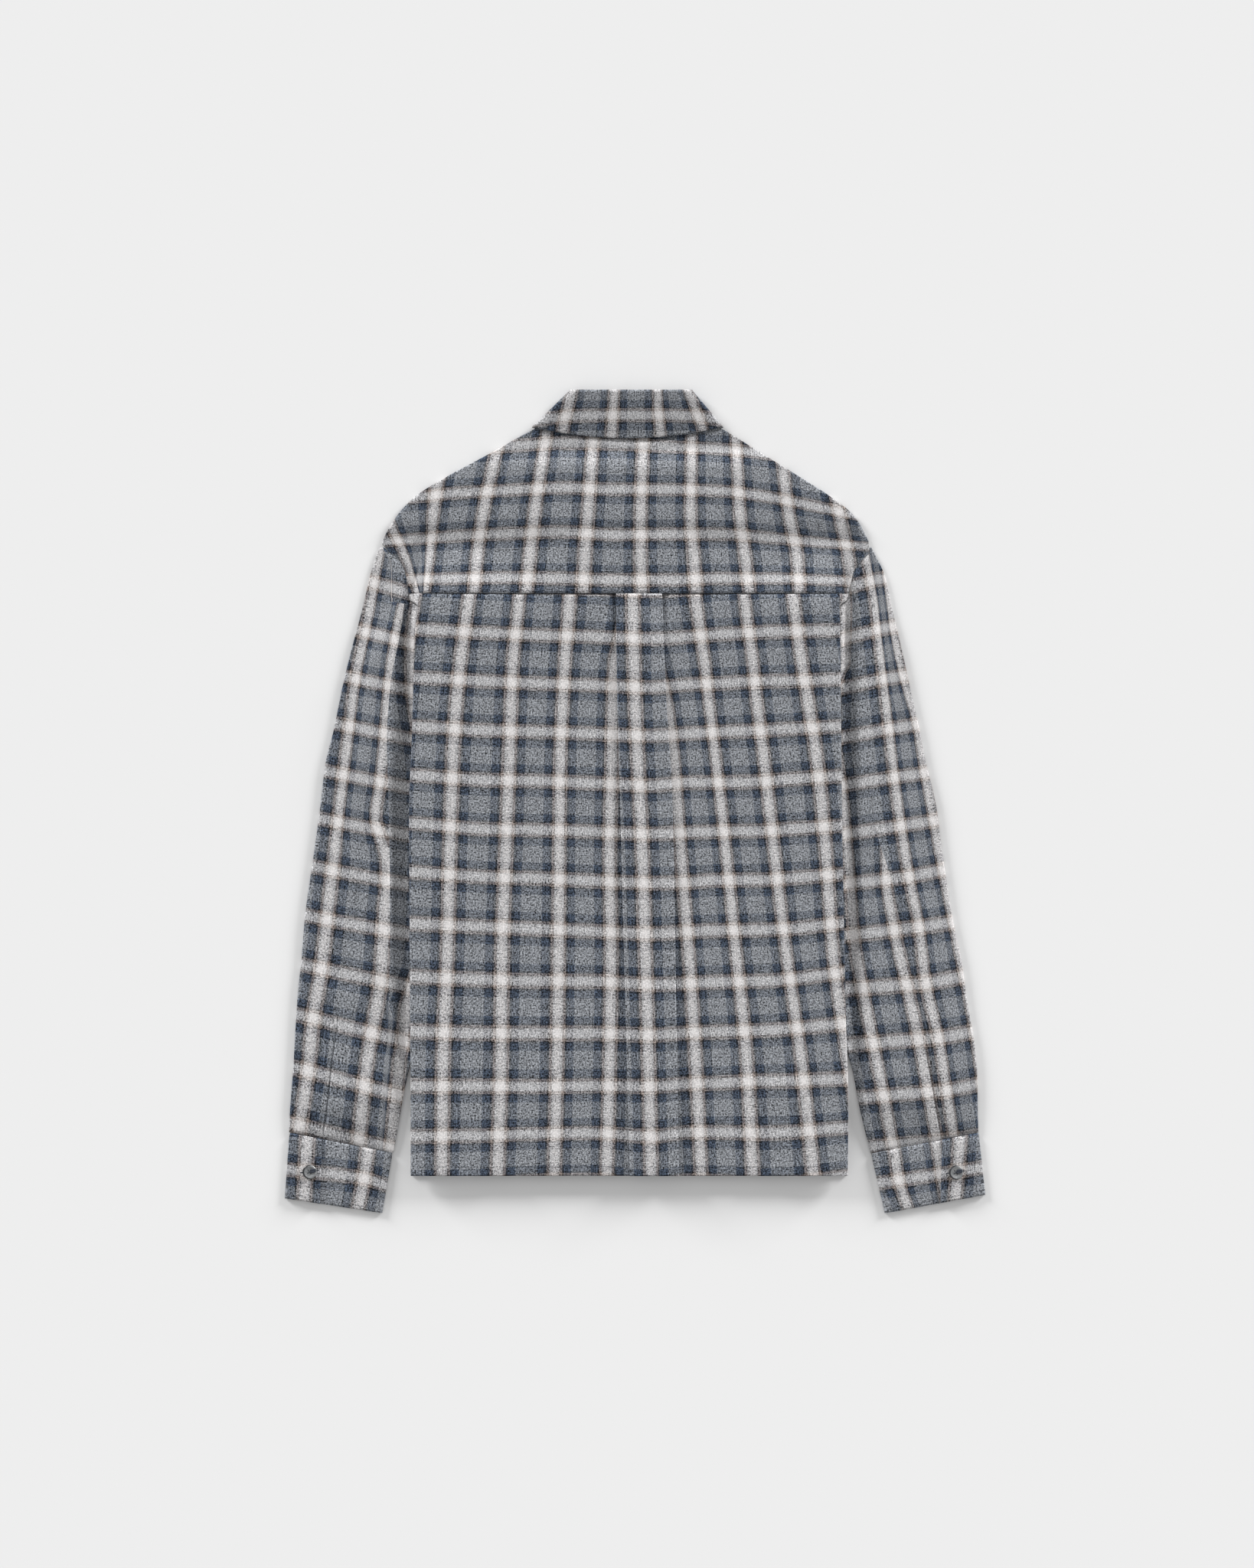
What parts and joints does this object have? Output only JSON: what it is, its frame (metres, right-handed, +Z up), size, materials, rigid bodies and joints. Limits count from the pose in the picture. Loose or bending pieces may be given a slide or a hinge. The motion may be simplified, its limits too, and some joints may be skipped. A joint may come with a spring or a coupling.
{
  "type": "flannel shirt",
  "caption": "Check flannel shirt laid flat on its front, with a back yoke, a box pleat, long sleeves and a turned-down collar.",
  "frame": {"origin": "centre of the garment's footprint on the surface that it lies on", "axes": "+Y from the hem towards the collar, +Z up from the surface, the wearer's left towards -X"},
  "size_m": [0.686, 0.8052, 0.0095],
  "materials": {
    "flannel": "brushed twill, napped, matt",
    "button": "smooth, slightly glossy"
  },
  "bodies": {
    "root": {"yoke": "flannel", "back_panel": "flannel", "front_left": "flannel", "front_right": "flannel", "sleeve_left": "flannel", "sleeve_right": "flannel", "collar_leaf": "flannel", "collar_stand": "flannel", "cuff_left": "flannel", "cuff_right": "flannel", "button_front_1": "button", "button_front_2": "button", "button_front_3": "button", "button_front_4": "button", "button_front_5": "button", "button_front_6": "button", "button_front_7": "button", "button_collar": "button", "button_cuff_left": "button", "button_cuff_right": "button"}
  },
  "joints": []
}
